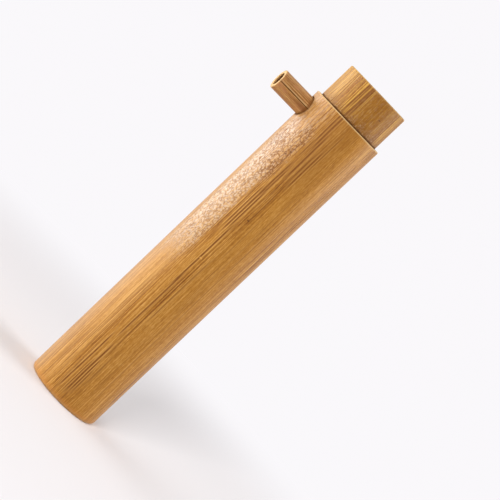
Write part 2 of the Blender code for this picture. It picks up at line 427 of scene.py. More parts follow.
class Finish:
    """A material in the making.

    place, around and along say where a point is, in millimetres: round the tube
    from the camera's side, and up it. surface, gloss and height are its colour,
    its roughness and its relief so far.
    """

    def __init__(self, name, seed, location=(0.0, 0.0, 0.0), rotation=(0.0, 0.0, 0.0)):
        self.seed = seed
        self.material = bpy.data.materials.new(name)
        self.material.use_nodes = True
        self.nodes = Nodes(self.material.node_tree)
        self.shader = self.nodes.tree.nodes["Principled BSDF"]
        self.place = self.nodes.mapped(location, rotation)

    def noise(self, across, along, detail=1.0, roughness=0.5):
        """Noise from 0 to 1, with its features' sizes in millimetres across and along the grain.

        Each call takes the next seed.
        """
        placed = self.nodes.vector("MULTIPLY", self.place, (1 / across, 1 / across, 1 / along))
        self.seed += 1
        return self.nodes.add("ShaderNodeTexNoise", {"noise_dimensions": "4D"},
                              {"Vector": placed, "W": self.seed - 1, "Scale": 1.0, "Detail": detail,
                               "Roughness": roughness})

    def attribute(self, name):
        return self.nodes.add("ShaderNodeAttribute", {"attribute_name": name}, output="Fac")

    def marks(self, marks, around=None):
        """How strongly any of the marks covers a place, and how strongly a mark's pale flanks do."""
        nodes = self.nodes
        around = around or self.around
        lines = None
        flanks = None
        for mark in marks:
            centre = (self.along - mark.low) * mark.lean + mark.around if mark.lean else mark.around
            reach = nodes.math("ABSOLUTE", around - centre)
            soft = min(0.2 * (mark.high - mark.low), LONGEST_FADE)
            strength = nodes.band(self.along, mark.low + soft, mark.high - soft, soft) * mark.strength
            width = mark.half_width
            line = nodes.smooth(reach, width * LINE_EDGE, width * LINE_CORE) * strength
            flank = nodes.smooth(reach, width * FLANK_EDGE, width * FLANK_CORE) * strength
            lines = nodes.larger(lines, line) if lines else line
            flanks = nodes.larger(flanks, flank) if flanks else flank
        return lines, flanks

    def paint(self, factor, tint):
        """Lay a colour over the surface where the factor is 1."""
        self.surface = self.nodes.mix(factor, self.surface, tint)

    def smear(self, factor, tint):
        """Lay a dull dark layer over the finished shader where the factor is 1. In the collar's joint it
        is partly painted shade.
        """
        dull = self.nodes.add("ShaderNodeBsdfPrincipled", {},
                              {"Base Color": opaque(tint), "Roughness": 0.8, "Specular IOR Level": 0.05})
        clean = Signal(self.nodes, self.shader.outputs[0])
        self.nodes.mix_shaders(factor, clean, dull, "Material Output")

    def close(self, strength, relief, specular=0.5):
        """Give the shader its colour, gloss and bump, and return the material."""
        bump = self.nodes.add("ShaderNodeBump", {},
                              {"Strength": strength, "Distance": relief * MM, "Height": self.height})
        self.nodes.feed(self.shader, {"Base Color": self.surface, "Roughness": self.gloss, "Normal": bump,
                                      "Specular IOR Level": specular})
        return self.material


def bamboo_material(piece, colours, special=None):
    """Bamboo with strands, fine fibres, dark veins and a paler sawn end.

    special, where given, adds to the finish what only one piece has.
    """
    work = Finish(f"{piece.name}_bamboo", piece.seed, piece.centre, piece.turn)
    nodes = work.nodes
    smooth = nodes.smooth
    grain = piece.grain
    pale, middle, dark = (getattr(colours, f"{piece.name}_{tone}") for tone in ("pale", "middle", "dark"))
    parts = nodes.outputs("ShaderNodeSeparateXYZ", {0: work.place})
    work.along = parts["Z"]
    work.around = around = nodes.math("ARCTAN2", parts["Y"], parts["X"]) * (piece.radius / MM)
    cut_end = work.attribute("cut_end")

    broad = work.noise(7.0, 70.0)
    strand = work.noise(1.3 * grain, 90.0)
    fibre = work.noise(0.34 * grain, 36.0)
    speck = work.noise(0.34 * grain, 1.8, detail=2.0, roughness=0.6)
    blotch = work.noise(2.4, 6.0, detail=3.0)
    lively = 1 - nodes.band(around + (broad - 0.5) * 5.0, *piece.calm, 2.0) * 0.6
    tone = (0.53 + (broad - 0.5) * 0.26 + (strand - 0.5) * 0.24 + (fibre - 0.5) * lively * 1.7
            + (speck - 0.5) * 0.85 + (blotch - 0.5) * 0.24)
    work.surface = nodes.add("ShaderNodeValToRGB", {"stops": ((0.16, dark), (0.5, middle), (0.86, pale))},
                             {"Fac": tone})

    # Thin dark and pale fibres, crowded in some strands and broken along their length
    crowd = 0.30 + smooth(work.noise(4.0, 45.0), 0.44, 0.62) * 0.85
    breaks = smooth(speck, 0.36, 0.58)
    dark_fibre = smooth(work.noise(0.42 * grain, 34.0, detail=0.0), 0.58, 0.66)
    short_fibre = smooth(work.noise(0.36 * grain, 10.0, detail=0.0), 0.60, 0.68)
    pale_fibre = smooth(work.noise(0.44 * grain, 24.0, detail=0.0), 0.64, 0.72)
    work.paint(pale_fibre * lively * 0.5, pale)
    hairs = nodes.larger(dark_fibre * (0.52 + breaks * 0.38), short_fibre * 0.62) * crowd * lively
    wobble = (work.noise(6.0, 30.0) - 0.5) * piece.wander
    if piece.veins:
        veins, flanks = work.marks(piece.veins, around + wobble)
        work.paint(flanks * 0.45, pale)
        hairs = nodes.larger(hairs * (1 - flanks * 0.7), veins * (0.85 + breaks * 0.15))
    work.paint(hairs, colours.vein)
    work.height = fibre * 0.6 + strand * 0.4 + speck * 0.4 + pale_fibre * 0.2 - hairs * 1.0
    work.gloss = piece.roughness + (fibre - 0.5) * 0.2 + (blotch - 0.5) * 0.12 + hairs * 0.12

    if special:
        special(work, colours)
    if piece.dots:
        dots, _ = work.marks(piece.dots)
        work.paint(dots, darker(colours.vein, 0.5))
        work.height = work.height - dots * 0.8

    # The sawn end: pale pith with fibre bundles
    cell = nodes.add("ShaderNodeTexVoronoi", {"voronoi_dimensions": "3D", "feature": "F1"},
                     {"Vector": nodes.vector("MULTIPLY", work.place, (1.0, 1.0, 0.02)), "Scale": 1.9})
    bundle = 1 - smooth(cell, 0.22, 0.36)
    pith = nodes.mix(broad, colours.end_grain_and_highlight, darker(colours.end_grain_and_highlight, 0.8))
    work.paint(cut_end, nodes.mix(bundle * 0.85, pith, colours.end_fibre))
    work.gloss = work.gloss + cut_end * 0.22
    work.height = work.height + cut_end * (bundle * 0.5 - work.height)
    return work.close(0.7, 0.06, specular=0.29)


def culm_finish(work, colours):
    """What only the culm has: waxy skin near its mouth, painted highlights on its lit side, a glue line
    and a stained foot.
    """
    nodes, smooth, band = work.nodes, work.nodes.smooth, work.nodes.band
    around, along = work.around, work.along
    work.seed = CULM_SEED
    ragged = work.noise(2.6, 8.0, detail=4.0, roughness=0.7) - 0.5
    edge = work.noise(0.9, 1.4, detail=3.0) - 0.5
    mottle = work.noise(0.75, 1.0, detail=1.5)

    # Two patches of skin: a ragged one under the mouthpiece and a longer one below that
    upper = (band(around + ragged * 10.0 + edge * 3.0, *UPPER_SKIN[0], 1.0)
             * band(along + ragged * 30.0 + edge * 8.0, *UPPER_SKIN[1], 3.5))
    lower = (band(around + ragged * 3.0 + edge * 1.2, *LOWER_SKIN[0], 0.7)
             * band(along + ragged * 16.0, *LOWER_SKIN[1], 9.0))
    patches = nodes.larger(upper, lower)

    # The darker strip by the rim, then two painted highlights on the front of the lit side: a paler band
    # with a sharp edge and a pale strip beyond it
    work.paint(smooth(along, 104.0, 128.0) * band(around + ragged * 4.0, *DARK_STRIP, 3.0) * 0.36,
               colours.culm_dark)
    lit_side = 1 - smooth(around + ragged * 6.0, -14.0, -7.0)
    in_front = smooth(around, -46.0, -28.0)
    work.paint((1 - smooth(around + edge * 0.8, -7.6, -6.9)) * in_front * 0.12, colours.culm_pale)
    work.paint((1 - smooth(around, -18.0, -12.5)) * in_front * 0.20, colours.skin)

    # The skin itself, with fine winding cracks and a soft shine. Its pale colour is partly painted
    # highlight: stronger on the lit side, and speckled by glint
    glint = 0.34 + smooth(mottle, 0.42, 0.60) * 0.74
    work.paint(nodes.larger(upper * (0.24 + lit_side * 0.34), lower * (0.56 + lit_side * 0.22)) * glint,
               colours.skin)
    winding = nodes.math("ABSOLUTE", work.noise(1.4, 2.1, detail=1.5) - 0.5)
    cracks = smooth(winding, 0.060, 0.015) * nodes.larger(upper * (1 - lit_side * 0.25), lower * 0.62)
    work.paint(cracks * 0.80, colours.vein)
    work.gloss = work.gloss + cracks * 0.2
    work.height = work.height + patches * (mottle - 0.2) * 2.0 - cracks * 1.0
    coat = patches * glint * (1 - cracks * 0.8) * (0.09 + lit_side * 0.25)
    nodes.feed(work.shader, {"Coat Weight": coat, "Coat Roughness": 0.25})

    # Flakes beside the mouthpiece: pale ones that are painted glints, and dark ones
    flake = work.noise(0.55, 3.0, detail=2.0)
    shoulder = (smooth(along + ragged * 10.0, 119.0, 128.0) * in_front
                * (1 - smooth(around, -8.0, -3.0)))
    work.paint(smooth(flake, 0.54, 0.61) * shoulder * 0.28, colours.skin)
    work.paint(smooth(flake, 0.46, 0.38) * shoulder * 0.45, colours.culm_dark)

    # Glue and dirt round the mouthpiece
    beside = nodes.mapped(location=(0.0, 0.0, -MOUTHPIECE_HEIGHT / MM), scale=(0.0, 1 / MM, 1 / MM))
    radius = MOUTHPIECE_RADIUS / MM
    joint = (smooth(nodes.distance(beside) + edge * 0.6, radius + 1.0, radius + 0.35)
             * smooth(around, -12.0, -14.0))
    work.smear(joint * 0.7, colours.dirt_and_shade)

    # The foot, the rim and a pale nick
    rim = CULM_HIGH.z / MM
    work.paint((1 - smooth(along + edge * 1.6, 0.6, 3.6)) * 0.55, colours.foot_stain)
    work.paint(smooth(along, rim - 0.6, rim - 0.1) * 0.7, colours.end_grain_and_highlight)
    work.paint(work.marks(CULM_NICKS)[0], colours.culm_pale)


def mouthpiece_finish(work, colours):
    """What only the mouthpiece has: a crack with a painted highlight along one edge, dirt at its root and
    a dark bore.
    """
    nodes, smooth = work.nodes, work.nodes.smooth
    work.seed = MOUTHPIECE_SEED
    blush = smooth(work.noise(1.6, 3.0, detail=3.0), 0.45, 0.65)
    work.paint(blush * 0.45, colours.blush)
    stain = work.noise(1.2, 2.6, detail=3.0) - 0.5
    under = (nodes.band(work.around + stain * 1.2, -1.9, -0.1, 0.5)
             * (1 - smooth(work.along + stain * 8.0, 17.0, 25.0)))
    work.paint(under * 0.75, colours.mouthpiece_dark)
    crack, _ = work.marks(MOUTHPIECE_CRACK)
    # Painted highlight along one edge of the crack
    lit_edge, _ = work.marks(MOUTHPIECE_CRACK, work.around - 0.45)
    work.paint(lit_edge * 0.6, colours.end_grain_and_highlight)
    work.paint(crack, darker(colours.vein, 0.4))
    work.gloss = work.gloss + crack * 0.4
    work.height = work.height - crack * 2.0
    work.paint((1 - smooth(work.along + stain * 0.8, 15.9, 16.8)) * 0.7, colours.vein)
    tip = -MOUTHPIECE_LOW.x / MM
    inside = (1 - work.attribute("skin")) * (1 - smooth(work.along + stain * 0.3, tip - 0.8, tip - 0.45))
    work.smear(nodes.larger(inside, crack * 0.85), colours.dirt_and_shade)


def collar_finish(work, colours):
    """What only the collar has: a browner side, painted light on its lit side, and glue, dirt and painted
    shade above the culm's rim.
    """
    smooth = work.nodes.smooth
    around, along = work.around, work.along
    work.seed = COLLAR_SEED
    uneven = work.noise(3.0, 8.0, detail=3.0) - 0.5
    # Painted light: the side that the key light falls on is paler
    work.paint((1 - smooth(around + uneven * 5.0, -13.5, -8.0)) * 0.30, colours.collar_pale)
    brown = work.nodes.band(around + uneven * 4.0, -1.5, 13.0, 1.4)
    work.paint(brown * 0.36, colours.collar_dark)
    grit = work.noise(0.55, 0.7, detail=3.0, roughness=0.7)
    scuffs = smooth(work.noise(0.8, 1.6, detail=3.0, roughness=0.7), 0.46, 0.64)
    work.paint(brown * scuffs * 0.13, colours.skin)

    rim = CULM_HIGH.z / MM
    outside = work.attribute("skin")

    def above_rim(unevenness, low, high):
        """1 on the outside just above the culm's rim, fading between two heights over it."""
        return (1 - smooth(along + uneven * unevenness, rim + low, rim + high)) * outside

    # Darker just above the culm's rim, and a dull dark line in the joint: partly dirt, partly painted
    # shade where the collar meets the rim
    work.paint(above_rim(3.0, 0.2, 4.5) * 0.35, colours.collar_dark)
    work.smear(above_rim(1.2, 0.25, 0.95) * 0.9, darker(colours.dirt_and_shade, 0.8))
    near_rim = above_rim(14.0, 0.4, 3.6)
    glue = smooth(grit, 0.50, 0.62) * near_rim
    pits = smooth(grit, 0.47, 0.38) * near_rim
    work.paint(glue * 0.32, colours.skin)
    work.paint(pits * 0.6, colours.vein)
    work.height = work.height + glue * 0.8 - pits * 0.6


def block_material(colours):
    """Turned dowel wood with growth rings on its end and straight grain on its side."""
    work = Finish("block_wood", BLOCK_SEED)
    nodes = work.nodes
    bend = work.noise(5.0, 80.0, detail=2.0)
    from_pith = nodes.vector("ADD", work.place, (16.0, 9.0, 0.0))
    from_pith = nodes.vector("MULTIPLY", from_pith, (1.0, 1.0, 0.0))
    rings = nodes.math("SINE", (nodes.distance(from_pith) + bend * 1.5) * 5.2) * 0.5 + 0.5
    fibre = work.noise(0.3, 9.0, detail=3.0)
    work.height = rings * 0.6 + fibre * 0.4
    work.surface = nodes.mix(nodes.smooth(work.height, 0.35, 0.85), colours.block, colours.block_ring)
    work.gloss = 0.55 + fibre * 0.15
    return work.close(0.4, 0.04)


def fibre_tip_material(colours):
    """The worn, darker tips of fibre bundles on a sawn end."""
    work = Finish("fibre_ends", TIP_SEED)
    work.height = work.noise(0.5, 0.5, detail=2.0)
    work.surface = work.nodes.mix(work.height, colours.end_fibre, colours.end_grain_and_highlight)
    work.gloss = 0.6 + work.height * 0.15
    return work.close(0.3, 0.02)


def between(first, second, part):
    return first + (second - first) * part


class Outline:
    """The outline of a turned piece, point by point round its wall.

    skin says how far a point takes part in the scraped unevenness of the
    outside, and cut how far it belongs to a sawn end.
    """

    def __init__(self):
        self.points = []

    def add(self, radius, height, skin, cut):
        self.points.append((radius, height, skin, cut))

    def run(self, radius, height, skin, cut, step):
        """Go straight on to a point, with more points on the way."""
        last = self.points[-1]
        count = max(1, math.ceil(math.hypot(radius - last[0], height - last[1]) / step))
        for index in range(1, count + 1):
            part = index / count
            self.add(between(last[0], radius, part), between(last[1], height, part), skin, cut)

    def rounded(self, centre, radius, start, end, skin, cut):
        """A quarter round. skin and cut are pairs, for its start and its end."""
        for index in range(ROUNDING_STEPS + 1):
            part = index / ROUNDING_STEPS
            angle = math.radians(between(start, end, part))
            self.add(centre[0] + radius * math.cos(angle), centre[1] + radius * math.sin(angle),
                     between(*skin, part), between(*cut, part))


def add_object(name, data):
    """A new object in the scene."""
    item = bpy.data.objects.new(name, data)
    bpy.context.scene.collection.objects.link(item)
    return item


def set_attribute(mesh, name, values, kind="FLOAT", field="value"):
    mesh.attributes.new(name, kind, "POINT").data.foreach_set(field, values)


def shade(mesh):
    """Shade round faces smooth and keep the edges sharp."""
    mesh.shade_smooth()
    mesh.set_sharp_from_angle(angle=SHARP_ANGLE)


def ring_faces(rings, sides, closed=False):
    """The faces between rings of points. Where they are closed, the last ring meets the first."""
    faces = []
    for ring in range(rings if closed else rings - 1):
        low = ring * sides
        high = (ring + 1) % rings * sides
        for side in range(sides):
            following = (side + 1) % sides
            faces.append((low + side, low + following, high + following, high + side))
    return faces


def turned(name, outline, sides, closed):
    """Turn an outline about Z into a mesh object with its finishing attributes."""
    verts = []
    outward = []
    skin = []
    cut = []
    for radius, height, skin_here, cut_here in outline.points:
        for side in range(sides):
            angle = 2 * math.pi * side / sides
            direction = (math.cos(angle), math.sin(angle))
            verts.append((radius * direction[0], radius * direction[1], height))
            outward.extend((*direction, 0.0))
            skin.append(skin_here)
            cut.append(cut_here)
    mesh = bpy.data.meshes.new(name)
    mesh.from_pydata(verts, [], ring_faces(len(outline.points), sides, closed))
    set_attribute(mesh, "skin", skin)
    set_attribute(mesh, "cut_end", cut)
    set_attribute(mesh, "outward", outward, "FLOAT_VECTOR", "vector")
    bm = bmesh.new()
    bm.from_mesh(mesh)
    bmesh.ops.remove_doubles(bm, verts=bm.verts, dist=0.0005 * MM)
    bmesh.ops.recalc_face_normals(bm, faces=bm.faces)
    bm.to_mesh(mesh)
    bm.free()
    shade(mesh)
    return add_object(name, mesh)


def keep_evaluated(item):
    """Make what the modifiers give the object's own mesh, and drop the modifiers."""
    bpy.context.view_layer.update()
    evaluated = item.evaluated_get(bpy.context.evaluated_depsgraph_get())
    mesh = bpy.data.meshes.new_from_object(evaluated)
    item.modifiers.clear()
    item.data = mesh


def new_geometry_tree(name, sizes):
    """A Geometry Nodes tree with a mesh input, named sizes, a seed and a material input."""
    tree = bpy.data.node_groups.new(name, "GeometryNodeTree")
    tree.is_modifier = True
    inputs = {"Geometry": "Geometry", **dict.fromkeys(sizes, "Float"), "Seed": "Int",
              "Material": "Material"}
    for socket, kind in inputs.items():
        tree.interface.new_socket(socket, in_out="INPUT", socket_type=f"NodeSocket{kind}")
    tree.interface.new_socket("Geometry", in_out="OUTPUT", socket_type="NodeSocketGeometry")
    nodes = Nodes(tree)
    return nodes, nodes.outputs("NodeGroupInput")


def end_tree(nodes, given, geometry):
    """Close a tree with plain geometry in its material."""
    real = nodes.add("GeometryNodeRealizeInstances", {}, {"Geometry": geometry})
    painted = nodes.add("GeometryNodeSetMaterial", {}, {"Geometry": real, "Material": given["Material"]})
    nodes.add("NodeGroupOutput", {}, {0: painted})
    return nodes.tree


def named_attribute(nodes, name, kind="FLOAT"):
    return nodes.add("GeometryNodeInputNamedAttribute", {"data_type": kind}, {"Name": name})


SCRAPED_SIZES = ("Unevenness", "Flat Width", "Flat Length", "Strand Depth", "Strand Width",
                 "Strand Length", "Ovality")


def scraped_tree():
    """Lay a scraper's flats, fibre flutes and ovality on a turned tube."""
    nodes, given = new_geometry_tree("scraped_bamboo", SCRAPED_SIZES)
    position = nodes.add("GeometryNodeInputPosition")
    outward = named_attribute(nodes, "outward", "FLOAT_VECTOR")
    skin = named_attribute(nodes, "skin")

    def field(width, long, detail, seed_shift):
        across = 1 / width
        scale = nodes.add("ShaderNodeCombineXYZ", {}, {0: across, 1: across, 2: 1 / long})
        value = nodes.add("ShaderNodeTexNoise", {"noise_dimensions": "4D"},
                          {"Vector": nodes.vector("MULTIPLY", position, scale),
                           "W": given["Seed"] + seed_shift, "Scale": 1.0, "Detail": detail})
        return value - 0.5

    flats = field(given["Flat Width"], given["Flat Length"], 0.5, 0.0) * given["Unevenness"] * 2.0
    strands = field(given["Strand Width"], given["Strand Length"], 1.5, 7.0) * given["Strand Depth"] * 2.0
    parts = nodes.outputs("ShaderNodeSeparateXYZ", {0: outward})
    oval = (parts["X"] * parts["X"] - parts["Y"] * parts["Y"]) * given["Ovality"]
    depth = (flats + strands + oval - given["Ovality"]) * skin
    offset = nodes.add("ShaderNodeVectorMath", {"operation": "SCALE"}, {0: outward, "Scale": depth})
    moved = nodes.add("GeometryNodeSetPosition", {}, {"Geometry": given["Geometry"], "Offset": offset})
    return end_tree(nodes, given, moved)


def fibre_end_tree():
    """Scatter the low domed tips of fibre bundles over a sawn end, denser near its skin."""
    nodes, given = new_geometry_tree("fibre_ends", ("Spacing", "Density", "Tip Radius", "Tip Height"))
    scatter = nodes.add("GeometryNodeDistributePointsOnFaces", {"distribute_method": "POISSON"},
                        {"Mesh": given["Geometry"], "Distance Min": given["Spacing"],
                         "Density Max": given["Density"], "Seed": given["Seed"],
                         "Density Factor": named_attribute(nodes, "crowding")})
    dome = nodes.add("GeometryNodeMeshIcoSphere", {}, {"Radius": 1.0, "Subdivisions": 1})
    size = nodes.add("FunctionNodeRandomValue", {"data_type": "FLOAT"},
                     {"Min": 0.6, "Max": 1.0, "Seed": given["Seed"]}, output=1)
    wide = size * given["Tip Radius"]
    scale = nodes.add("ShaderNodeCombineXYZ", {}, {0: wide, 1: wide, 2: given["Tip Height"]})
    tips = nodes.add("GeometryNodeInstanceOnPoints", {},
                     {"Points": scatter, "Instance": dome, "Scale": scale})
    return end_tree(nodes, given, tips)


def run_tree(item, name, make_tree, values):
    """Run a Geometry Nodes tree on a piece and keep the result as its plain mesh."""
    tree = bpy.data.node_groups.get(name) or make_tree()
    modifier = item.modifiers.new(name, "NODES")
    modifier.node_group = tree
    for socket in tree.interface.items_tree:
        if socket.in_out == "INPUT" and socket.name in values:
            modifier[socket.identifier] = values[socket.name]
    keep_evaluated(item)


def scrape(item, material, seed, flats, strands, ovality):
    """Give a turned piece its scraped skin. flats and strands are a depth, a width and a length."""
    values = dict(zip(SCRAPED_SIZES, (*flats, *strands, ovality)))
    run_tree(item, "scraped_bamboo", scraped_tree, {**values, "Seed": seed, "Material": material})


def laid_down(x):
    """The place and turn of a form that was made about Z and lies in the mouthpiece's line."""
    return Matrix.Translation((x, 0, MOUTHPIECE_HEIGHT)) @ Matrix.Rotation(math.radians(-90), 4, "Y")


def drill(item, outer, sizes):
    """Drill the mouthpiece's hole through one side of a tube."""
    start = outer + DRILL_OVERSHOOT
    radius = MOUTHPIECE_RADIUS + sizes.fit
    bm = bmesh.new()
    bmesh.ops.create_cone(bm, cap_ends=True, segments=HOLE_SIDES, radius1=radius, radius2=radius,
                          depth=start, matrix=laid_down(-start / 2))
    mesh = bpy.data.meshes.new("cutter")
    bm.to_mesh(mesh)
    bm.free()
    cutter = add_object("cutter", mesh)
    hole = item.modifiers.new("hole", "BOOLEAN")
    hole.operation = "DIFFERENCE"
    hole.solver = "EXACT"
    hole.object = cutter
    keep_evaluated(item)
    bpy.data.objects.remove(cutter, do_unlink=True)
    shade(item.data)


def place_piece(item, node):
    """Hand a finished piece over to the frame."""
    item.data.name = item.name
    if node:
        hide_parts(node)
    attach(item, BODY)


def culm_outline(sizes):
    """From the middle of the underside, up the outside and down the bore to the plate."""
    rim = CULM_HIGH.x
    foot = rim - sizes.culm_taper / 2
    top = CULM_HIGH.z
    edge = sizes.rim_rounding
    bore_rim = rim - sizes.culm_wall
    bore_foot = foot - sizes.culm_wall
    corner = sizes.foot_rounding
    fillet = sizes.node_fillet
    outline = Outline()
    outline.add(0.0, 0.0, 0.0, 1.0)
    outline.run(foot - corner, 0.0, 0.0, 1.0, step=2.0 * MM)
    outline.rounded((foot - corner, corner), corner, -90, 0, (0.0, 1.0), (0.8, 0.0))
    outline.run(rim, top - edge, 1.0, 0.0, LONGEST_FACET)
    outline.rounded((rim - edge, top - edge), edge, 0, 90, (1.0, 0.8), (0.0, 1.0))
    outline.run(bore_rim + edge, top, 0.4, 1.0, END_FACET)
    outline.rounded((bore_rim + edge, top - edge), edge, 90, 180, (0.2, 0.0), (1.0, 0.3))
    outline.run(bore_foot, sizes.node_thickness + fillet, 0.0, 0.0, BORE_FACET)
    outline.rounded((bore_foot - fillet, sizes.node_thickness + fillet), fillet, 0, -90,
                    (0.0, 0.0), (0.0, 0.0))
    plate = bore_foot - fillet
    for index in range(1, PLATE_STEPS + 1):
        part = index / PLATE_STEPS
        crown = sizes.node_crown * (1 - math.cos(math.pi * part)) / 2
        outline.add(plate * (1 - part), sizes.node_thickness + crown, 0.0, 0.0)
    return outline


def collar_outline(inner, edge):
    """The wall of the collar, with its outer edges rounded. Its top stays just under the solid's."""
    outer = COLLAR_HIGH.x
    low = COLLAR_LOW.z
    high = COLLAR_HIGH.z - 0.03 * MM
    outline = Outline()
    outline.add(inner, high, 0.0, 1.0)
    outline.add(inner, high - edge / 2, 0.0, 0.4)
    outline.run(inner, low, 0.0, 0.0, BORE_FACET)
    outline.run(outer - edge, low, 0.0, 1.0, step=0.4 * MM)
    outline.rounded((outer - edge, low + edge), edge, -90, 0, (0.3, 1.0), (1.0, 0.0))
    outline.run(outer, high - edge, 1.0, 0.0, LONGEST_FACET)
    outline.rounded((outer - edge, high - edge), edge, 0, 90, (1.0, 0.8), (0.0, 1.0))
    outline.run(inner + 0.2 * MM, high, 0.2, 1.0, END_FACET)
    return outline


def mouthpiece_outline(sizes, bore):
    """From the tip down the bore, round the tenon and its shoulder and back to the tip."""
    radius = MOUTHPIECE_RADIUS
    tenon = bore + sizes.tenon_wall
    tip = -MOUTHPIECE_LOW.x
    tenon_end = -MOUTHPIECE_HIGH.x
    shoulder = COLLAR_HIGH.x - sizes.collar_wall
    edge = sizes.mouthpiece_rounding
    outline = Outline()
    outline.add(bore, tip - edge, 0.0, 0.3)
    outline.run(bore, tenon_end, 0.0, 0.0, BORE_FACET)
    outline.run(tenon, tenon_end, 0.0, 1.0, END_FACET)
    outline.run(tenon, shoulder, 0.0, 0.0, LONGEST_FACET)
    outline.run(radius, shoulder, 0.0, 1.0, END_FACET)
    outline.run(radius, tip - edge, 1.0, 0.0, step=0.6 * MM)
    outline.rounded((radius - edge, tip - edge), edge, 0, 90, (1.0, 0.8), (0.0, 1.0))
    outline.rounded((bore + edge, tip - edge), edge, 90, 172, (0.2, 0.0), (1.0, 0.3))
    return outline


def fibre_tips(part_name, inner, outer, height, spacing, seed, colours, tilt=None):
    """Domed fibre tips over a ring at a height, as one piece."""
    verts = []
    crowding = []
    for ring in range(TIP_RINGS + 1):
        part = ring / TIP_RINGS
        radius = between(inner, outer, part)
        for side in range(TIP_SIDES):
            angle = 2 * math.pi * side / TIP_SIDES
            verts.append((radius * math.cos(angle), radius * math.sin(angle), height))
            crowding.append(0.12 + 0.88 * part ** 2)
    faces = [(first, fourth, third, second)
             for first, second, third, fourth in ring_faces(TIP_RINGS + 1, TIP_SIDES)]
    name = f"{part_name}_fibre_tips"
    mesh = bpy.data.meshes.new(name)
    mesh.from_pydata(verts, [], faces)
    set_attribute(mesh, "crowding", crowding)
    item = add_object(name, mesh)
    run_tree(item, "fibre_ends", fibre_end_tree, {
        "Spacing": spacing, "Density": TIP_DENSITY, "Tip Radius": TIP_RADIUS, "Tip Height": TIP_HEIGHT,
        "Seed": seed, "Material": bpy.data.materials.get("fibre_ends") or fibre_tip_material(colours)})
    item.data.shade_smooth()
    if tilt is not None:
        item.data.transform(tilt)
    place_piece(item, None)


class WHISTLE_OT_culm(bpy.types.Operator):
    """Make the wide tube that holds the water"""
    bl_idname = "whistle.culm"
    bl_label = "Culm"

    def execute(self, context):
        sizes = context.scene.whistle_sizes
        colours = context.scene.whistle_colours
        radius = CULM_HIGH.x
        look = Bamboo("culm", radius, seed=3.0, veins=CULM_VEINS, dots=CULM_DOTS)
        material = bamboo_material(look, colours, culm_finish)
        culm = turned("culm", culm_outline(sizes), CULM_SIDES, closed=False)
        scrape(culm, material, seed=5, flats=(sizes.unevenness, 9.0 * MM, 70.0 * MM),
               strands=(sizes.strand_depth, 1.3 * MM, 80.0 * MM), ovality=sizes.ovality)
        drill(culm, radius, sizes)
        place_piece(culm, "culm_body")
        edge = sizes.rim_rounding
        fibre_tips("culm", radius - sizes.culm_wall + edge, radius - edge - 2 * sizes.ovality,
                   CULM_HIGH.z - 0.01 * MM, spacing=0.30 * MM, seed=11, colours=colours)
        return {"FINISHED"}


class WHISTLE_OT_collar(bpy.types.Operator):
    """Make the thinner ring that lines the culm's mouth"""
    bl_idname = "whistle.collar"
    bl_label = "Collar"

    def execute(self, context):
        sizes = context.scene.whistle_sizes
        colours = context.scene.whistle_colours
        radius = COLLAR_HIGH.x
        look = Bamboo("collar", radius, seed=14.0, veins=COLLAR_VEINS, dots=COLLAR_DOTS,
                      roughness=0.48, calm=(-0.8, 13.0))
        material = bamboo_material(look, colours, collar_finish)
        inner = radius - sizes.collar_wall
        edge = sizes.collar_rounding
        collar = turned("collar_ring", collar_outline(inner, edge), COLLAR_SIDES, closed=True)
        scrape(collar, material, seed=23, flats=(0.05 * MM, 7.0 * MM, 60.0 * MM),
               strands=(sizes.strand_depth, 1.3 * MM, 80.0 * MM), ovality=0.02 * MM)
        drill(collar, radius, sizes)
        place_piece(collar, "collar")
        fibre_tips("collar", inner + 0.1 * MM, radius - edge, COLLAR_HIGH.z - 0.04 * MM,
                   spacing=0.32 * MM, seed=12, colours=colours)
        return {"FINISHED"}


class WHISTLE_OT_mouthpiece(bpy.types.Operator):
    """Make the thin tube that is blown through"""
    bl_idname = "whistle.mouthpiece"
    bl_label = "Mouthpiece"

    def execute(self, context):
        sizes = context.scene.whistle_sizes
        colours = context.scene.whistle_colours
        radius = MOUTHPIECE_RADIUS
        bore = radius - sizes.mouthpiece_wall
        look = Bamboo("mouthpiece", radius, seed=27.0, turn=(0.0, math.radians(90), math.radians(90)),
                      centre=(0.0, -MOUTHPIECE_HEIGHT / MM, 0.0), veins=MOUTHPIECE_VEINS, grain=0.8,
                      roughness=0.45, calm=(-9.0, -4.0), wander=0.3)
        material = bamboo_material(look, colours, mouthpiece_finish)
        mouthpiece = turned("mouthpiece_tube", mouthpiece_outline(sizes, bore), MOUTHPIECE_SIDES,
                            closed=True)
        scrape(mouthpiece, material, seed=31, flats=(0.05 * MM, 3.0 * MM, 30.0 * MM),
               strands=(0.012 * MM, 0.7 * MM, 40.0 * MM), ovality=0.03 * MM)
        mouthpiece.data.transform(laid_down(0.0))
        place_piece(mouthpiece, "mouthpiece")
        edge = sizes.mouthpiece_rounding
        fibre_tips("mouthpiece", bore + edge, radius - edge, -MOUTHPIECE_LOW.x - 0.01 * MM,
                   spacing=0.26 * MM, seed=13, colours=colours, tilt=laid_down(0.0))
        return {"FINISHED"}


class WHISTLE_OT_pipe(bpy.types.Operator):
    """Finish the sounding pipe and the fipple block inside the collar"""
    bl_idname = "whistle.pipe"
    bl_label = "Sounding pipe"

    def execute(self, context):
        colours = context.scene.whistle_colours
        centre = (PIPE_HIGH.x + PIPE_LOW.x) / 2
        look = Bamboo("pipe", (PIPE_HIGH.x - PIPE_LOW.x) / 2, seed=47.0, turn=(0.0, 0.0, 0.0),
                      centre=(-centre / MM, 0.0, 0.0), roughness=0.5)
        smooth_copy("sounding_pipe", "sounding_tube", bamboo_material(look, colours))
        smooth_copy("fipple_block", "block", block_material(colours))
        return {"FINISHED"}


